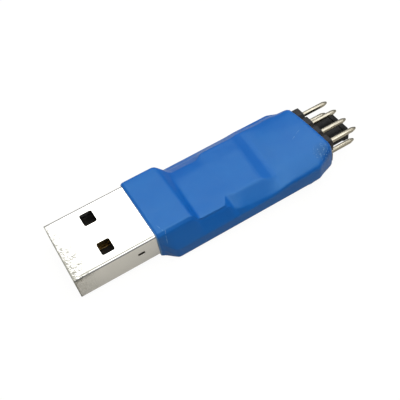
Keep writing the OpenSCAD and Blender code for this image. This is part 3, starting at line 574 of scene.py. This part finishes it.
# Scratches seen from above, behind the mouth and across: start, end and width
SCRATCHES = (((42.8, -0.15), (41.85, -0.53), 0.10), ((41.3, -0.85), (40.6, -1.2), 0.08),
             ((14.05, -4.4), (14.5, -6.1), 0.09), ((14.8, -5.9), (14.2, -7.1), 0.12))
strokes = [stroke(film, place, *[(mouth_x + x * MM, y * MM) for x, y in ends], wide * MM)
           for *ends, wide in SCRATCHES]
marks = strokes[0]
for mark in strokes[1:]:
    marks = maths(film, "MAXIMUM", marks, mark)
marks = product(film, marks, scale_to(film, speckle(film, place, 3.0), 0.42, 0.55),
                scale_to(film, film_xyz[2], under_z + 2.7 * MM, under_z + 3.2 * MM))
# The near corner over the header is specked by handling, and its blue is darkened there as painted shade
# where the top turns down into the side
corner_centre = (mouth_x + 43.3 * MM, -5.9 * MM, under_z + 2.8 * MM)
corner_off = wire(film, "VectorMath", {0: place, 1: corner_centre}, operation="DISTANCE").node.outputs["Value"]
near_corner = scale_to(film, corner_off, 0.6 * MM, 2.0 * MM, 1.0, 0.0)
specks = product(film, scale_to(film, speckle(film, place, 3.6, 2, 0.6), 0.58, 0.64), near_corner)
# A pale band along the cut edge at the mouth end is a painted highlight; the other pale marks are scratches
# and specks.
cut_x = mouth_x + sleeve_x * MM
rim_highlight = scale_to(film, film_xyz[0], cut_x + 0.03 * MM, cut_x + 0.12 * MM, 1.0, 0.0)
pale = maths(film, "MAXIMUM", product(film, maths(film, "MAXIMUM", marks, specks), 0.55),
             product(film, rim_highlight, 0.4))
# Painted shade: the blue darkens toward the near corner.
blue = blend(film, product(film, near_corner, 0.5), blue, (0.001, 0.045, 0.22))
feed(film, blend(film, pale, blue, (0.22, 0.42, 0.66)), shader, "Base Color")
feed(film, scale_to(film, skin_noise, 0.3, 0.7, 0.32, 0.42), shader, "Roughness")
dent(film, shader, maths(film, "ADD", product(film, swell, 12.0), skin_noise), 0.012 * MM, 0.7)
mesh.materials.append(film)
sleeve = bpy.data.objects.new("sleeve_film", mesh)
bpy.context.scene.collection.objects.link(sleeve)
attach(sleeve, "module")
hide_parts("shrink_sleeve")

# Floor and light
# The module rests on the mouth of its plug and on the sleeve under the header,
# on a plain pale table, under a wide soft lamp and two narrow ones.
touch = points[np.argmin((points[:, 2] - under_z) / (points[:, 0] - mouth_x))]
rest_far = Vector((touch[0], 0, touch[2]))
rest_near = Vector((mouth_x, 0, under_z))
fall = (rest_far - rest_near).normalized()
table_mesh = bpy.data.meshes.new("table")
half_table, clearance = 1.5, 0.02 * MM
across = Vector((0, 1, 0))
centre = rest_near - fall.cross(across) * clearance
corners = [centre + (fall * a + across * b) * half_table for a, b in ((-1, -1), (1, -1), (1, 1), (-1, 1))]
table_mesh.from_pydata([tuple(c) for c in corners], [], [(0, 1, 2, 3)])
table_paint, shader = finish("table_white", (0.46, 0.435, 0.375), 0.7)
tree = table_paint.node_tree
glow = tree.nodes.new("ShaderNodeEmission")
glow.inputs["Strength"].default_value = 1.12
path = tree.nodes.new("ShaderNodeLightPath")
mix = tree.nodes.new("ShaderNodeMixShader")
seen = maths(table_paint, "MULTIPLY", path.outputs["Is Camera Ray"], 0.85)
mirrored = maths(table_paint, "MAXIMUM", path.outputs["Is Glossy Ray"], path.outputs["Is Transmission Ray"])
share = maths(table_paint, "MAXIMUM", seen, maths(table_paint, "MULTIPLY", mirrored, 0.15))
tree.links.new(share, mix.inputs[0])
tree.links.new(shader.outputs[0], mix.inputs[1])
tree.links.new(glow.outputs[0], mix.inputs[2])
tree.links.new(mix.outputs[0], tree.nodes["Material Output"].inputs["Surface"])
table_mesh.materials.append(table_paint)
table = bpy.data.objects.new("table", table_mesh)
bpy.context.scene.collection.objects.link(table)

world = bpy.data.worlds.new("studio")
bpy.context.scene.world = world
world.use_nodes = True
tree = world.node_tree
room = tree.nodes["Background"]
room.inputs["Color"].default_value = (0.98, 0.99, 1.0, 1)
toward = tree.nodes.new("ShaderNodeTexCoord")
split = tree.nodes.new("ShaderNodeSeparateXYZ")
rise = tree.nodes.new("ShaderNodeMapRange")
for key, value in (("From Min", 0.15), ("From Max", 0.7), ("To Min", 0.10), ("To Max", 0.55)):
    rise.inputs[key].default_value = value
tree.links.new(toward.outputs["Generated"], split.inputs[0])
tree.links.new(split.outputs["Z"], rise.inputs["Value"])
tree.links.new(rise.outputs[0], room.inputs["Strength"])
white = tree.nodes.new("ShaderNodeBackground")
white.inputs["Strength"].default_value = 1.0
white.inputs["Color"].default_value = (1, 1, 1, 1)
path = tree.nodes.new("ShaderNodeLightPath")
mix = tree.nodes.new("ShaderNodeMixShader")
tree.links.new(path.outputs["Is Camera Ray"], mix.inputs[0])
tree.links.new(room.outputs[0], mix.inputs[1])
tree.links.new(white.outputs[0], mix.inputs[2])
tree.links.new(mix.outputs[0], tree.nodes["World Output"].inputs["Surface"])


def soft_lamp(name, where, wide, deep, power):
    """A level soft lamp that hangs over the table and shines down."""
    lamp = bpy.data.lights.new(name, "AREA")
    lamp.shape, lamp.size, lamp.size_y, lamp.energy = "RECTANGLE", wide, deep, power
    made = bpy.data.objects.new(name, lamp)
    made.location = where
    bpy.context.scene.collection.objects.link(made)


soft_lamp("lamp_wide", (0.17, 0.05, 0.54), 0.58, 0.90, 1.75)
soft_lamp("lamp_plug", (0.03, 0.07, 0.52), 0.18, 0.84, 0.62)
soft_lamp("lamp_end", (0.34, 0.07, 0.52), 0.18, 0.84, 0.58)

# Camera
# The photograph's view: from above the near side, a little in front of the
# plug's mouth, through a lens of about 58 mm.
right = Vector((0.854073, -0.505592, -0.122215))
down = Vector((-0.462943, -0.631728, -0.621775))
ahead = Vector((0.237157, 0.587620, -0.773602))
eye = Vector((-1.135231, -60.856882, 79.469180)) * MM + Vector((mouth_x, 0, under_z))
sensor_w, image_w, focal_in_pixels = 36.0, 400, 647.92
camera = bpy.data.cameras.new("camera")
camera.sensor_width, camera.lens = sensor_w, sensor_w * focal_in_pixels / image_w
camera.clip_start, camera.clip_end = 0.005, 10.0
stand = bpy.data.objects.new("camera", camera)
turn = Matrix((right, -down, -ahead)).transposed()
stand.rotation_mode = "QUATERNION"
stand.rotation_quaternion = turn.to_quaternion()
stand.location = eye
bpy.context.scene.collection.objects.link(stand)
bpy.context.scene.camera = stand
bpy.context.scene.view_settings.view_transform = "Standard"
